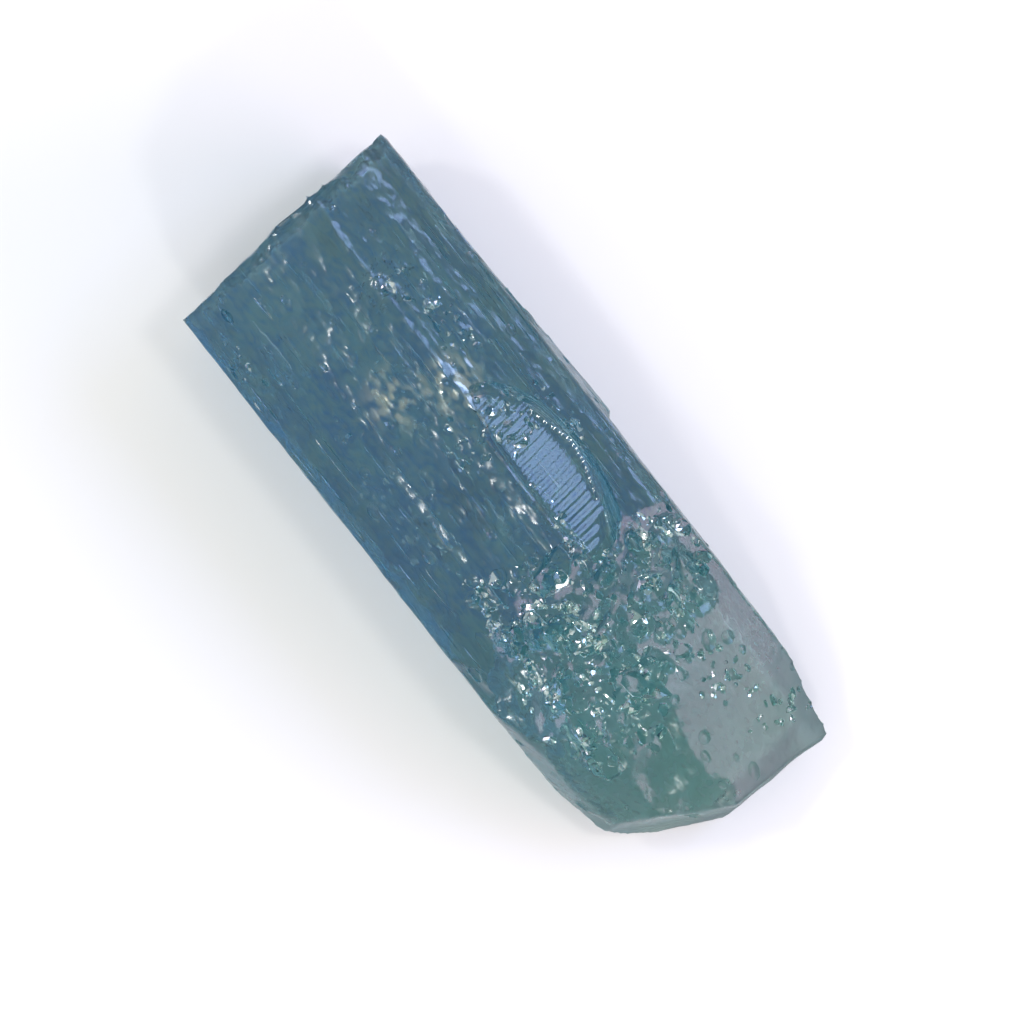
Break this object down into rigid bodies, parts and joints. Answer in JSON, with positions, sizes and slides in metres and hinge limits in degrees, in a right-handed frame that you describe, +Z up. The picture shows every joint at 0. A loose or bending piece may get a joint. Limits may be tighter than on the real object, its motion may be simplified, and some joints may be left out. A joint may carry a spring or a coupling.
{
  "type": "aquamarine crystal",
  "caption": "Rough prism of clear blue beryl with growth-lined faces, one flat parted end and one sloping broken end; it lies on a prism face.",
  "frame": {"origin": "on the resting surface, under the middle of the crystal's bounding box", "axes": "+X along the crystal from its flat parted end to its broken end, +Y across it, +Z up"},
  "size_m": [0.025, 0.0096, 0.0081],
  "materials": {
    "aquamarine": "clear to cloudy blue, glossy on sound faces and frosted where etched or broken"
  },
  "bodies": {
    "root": {"aquamarine_crystal": "aquamarine"}
  },
  "joints": []
}
